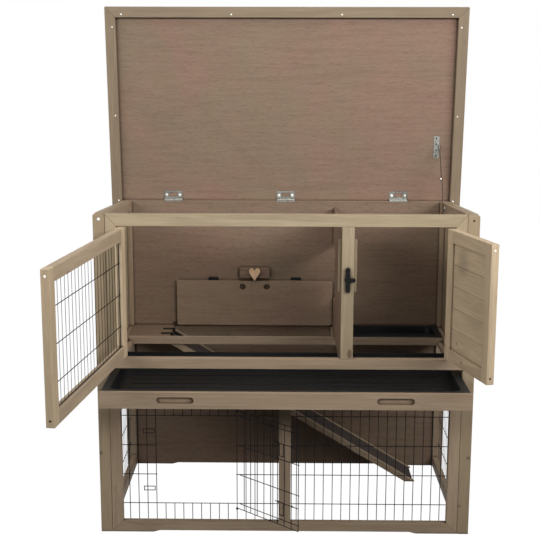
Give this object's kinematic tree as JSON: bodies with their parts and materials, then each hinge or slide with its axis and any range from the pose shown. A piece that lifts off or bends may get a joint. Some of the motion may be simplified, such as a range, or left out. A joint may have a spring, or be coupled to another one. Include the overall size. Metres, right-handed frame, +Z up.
{
  "type": "small animal hutch",
  "caption": "Two-storey wooden small animal hutch with a hinged lid, wire and board doors, tray drawer, ramp and wire run.",
  "frame": {"origin": "on the ground, in the middle of the box round the hutch as it stands open", "axes": "+X to the right seen from the front, +Y to the back, +Z up"},
  "size_m": [1.16, 1.234, 1.5497],
  "materials": {
    "upper_timber": "stained and sealed",
    "lower_timber": "stained and sealed",
    "plywood": "stained plywood",
    "heart_wood": "bare wood",
    "black_plastic": "moulded",
    "coated_wire": "plastic coated",
    "zinc_steel": "zinc plated",
    "roofing_felt": "mineral felt"
  },
  "bodies": {
    "root": {"upper_top_rail": "upper_timber", "upper_bottom_rail": "upper_timber", "upper_stiles": "upper_timber", "upper_centre_post": "upper_timber", "door_stop": "upper_timber", "lower_top_rail": "lower_timber", "lower_bottom_rail": "lower_timber", "lower_stiles": "lower_timber", "lower_centre_post": "lower_timber", "front_posts": "lower_timber", "back_posts": "lower_timber", "side_boards": "upper_timber", "side_rails": "upper_timber", "side_mesh": "coated_wire", "back_panel": "plywood", "back_rails": "upper_timber", "partition": "plywood", "floor_rails": "upper_timber", "floor_board": "plywood", "rear_tray": "black_plastic", "ramp_board": "plywood", "ramp_side_rails": "upper_timber", "ramp_grip": "roofing_felt", "ramp_hooks": "coated_wire", "drawer_runners": "upper_timber", "run_left_mesh": "coated_wire", "run_right_mesh": "coated_wire", "bolt_keepers": "coated_wire", "catch_block": "plywood", "flap_brackets": "zinc_steel", "flap_clips": "black_plastic", "latch_plate": "black_plastic", "lid_hinge_frame_leaves": "zinc_steel", "door_hinge_frame_leaves": "zinc_steel", "stay_side_bracket": "zinc_steel"},
    "lid": {"lid_panel": "plywood", "lid_front_batten": "upper_timber", "lid_side_battens": "upper_timber", "roof_felt": "roofing_felt", "lid_screws": "zinc_steel", "lid_hinge_leaves": "zinc_steel", "stay_lid_plate": "zinc_steel"},
    "stay_upper": {"stay_upper_arm": "zinc_steel"},
    "stay_lower": {"stay_lower_arm": "zinc_steel"},
    "left_door": {"left_door_stiles": "upper_timber", "left_door_rails": "upper_timber", "left_door_mesh": "coated_wire", "left_door_hinges": "zinc_steel"},
    "right_door": {"right_door_stiles": "upper_timber", "right_door_rails": "upper_timber", "right_door_boards": "upper_timber", "right_door_hinges": "zinc_steel"},
    "latch": {"latch_bar": "black_plastic"},
    "drawer": {"drawer_front": "upper_timber", "drawer_tray": "black_plastic"},
    "wire_door": {"wire_door": "coated_wire"},
    "upper_bolt": {"upper_bolt": "coated_wire"},
    "lower_bolt": {"lower_bolt": "coated_wire"},
    "flap": {"flap": "plywood"},
    "heart": {"heart": "heart_wood"}
  },
  "joints": [
    {"name": "lid_hinge", "type": "hinge", "parent": "root", "child": "lid", "pos_m": [0, 0.60241, 0.9232], "axis": [1, 0, 0], "range_deg": [0, 81.15]},
    {"name": "stay_upper_pivot", "type": "hinge", "parent": "lid", "child": "stay_upper", "pos_m": [0.50575, 0.5776, 1.10065], "axis": [1, 0, 0], "range_deg": [-66.89, 0]},
    {"name": "stay_lower_pivot", "type": "hinge", "parent": "root", "child": "stay_lower", "pos_m": [0.5075, 0.46891, 0.898], "axis": [1, 0, 0], "range_deg": [0, 159.12]},
    {"name": "left_door_hinge", "type": "hinge", "parent": "root", "child": "left_door", "pos_m": [-0.4778, 0.01611, 0.73084], "axis": [0, 0, 1], "range_deg": [-73, 97]},
    {"name": "right_door_hinge", "type": "hinge", "parent": "root", "child": "right_door", "pos_m": [0.4778, 0.01611, 0.73084], "axis": [0, 0, 1], "range_deg": [-105, 65]},
    {"name": "latch_turn", "type": "hinge", "parent": "root", "child": "latch", "pos_m": [0.1765, 0.01331, 0.768], "axis": [0, 1, 0], "range_deg": [0, 90]},
    {"name": "drawer_slide", "type": "slide", "parent": "root", "child": "drawer", "axis": [0, 1, 0], "range_m": [-0.15, 0.18]},
    {"name": "wire_door_hinge", "type": "hinge", "parent": "root", "child": "wire_door", "pos_m": [-0.1413, 0.04251, 0.218], "axis": [0, 0, 1], "range_deg": [-138, 5]},
    {"name": "upper_bolt_slide", "type": "slide", "parent": "wire_door", "child": "upper_bolt", "axis": [0.7431, -0.6691, 0], "range_m": [0, 0.022]},
    {"name": "lower_bolt_slide", "type": "slide", "parent": "wire_door", "child": "lower_bolt", "axis": [0.7431, -0.6691, 0], "range_m": [0, 0.022]},
    {"name": "flap_hinge", "type": "hinge", "parent": "root", "child": "flap", "pos_m": [-0.1029, 0.56081, 0.5045], "axis": [1, 0, 0], "range_deg": [0, 90]},
    {"name": "heart_turn", "type": "hinge", "parent": "root", "child": "heart", "pos_m": [-0.1029, 0.55031, 0.67999], "axis": [0, 1, 0], "range_deg": [-90, 90]}
  ],
  "couplings": [
    {"joint": "stay_upper_pivot", "follows": "lid_hinge", "ratio": -0.82432},
    {"joint": "stay_lower_pivot", "follows": "lid_hinge", "ratio": 1.9609}
  ]
}
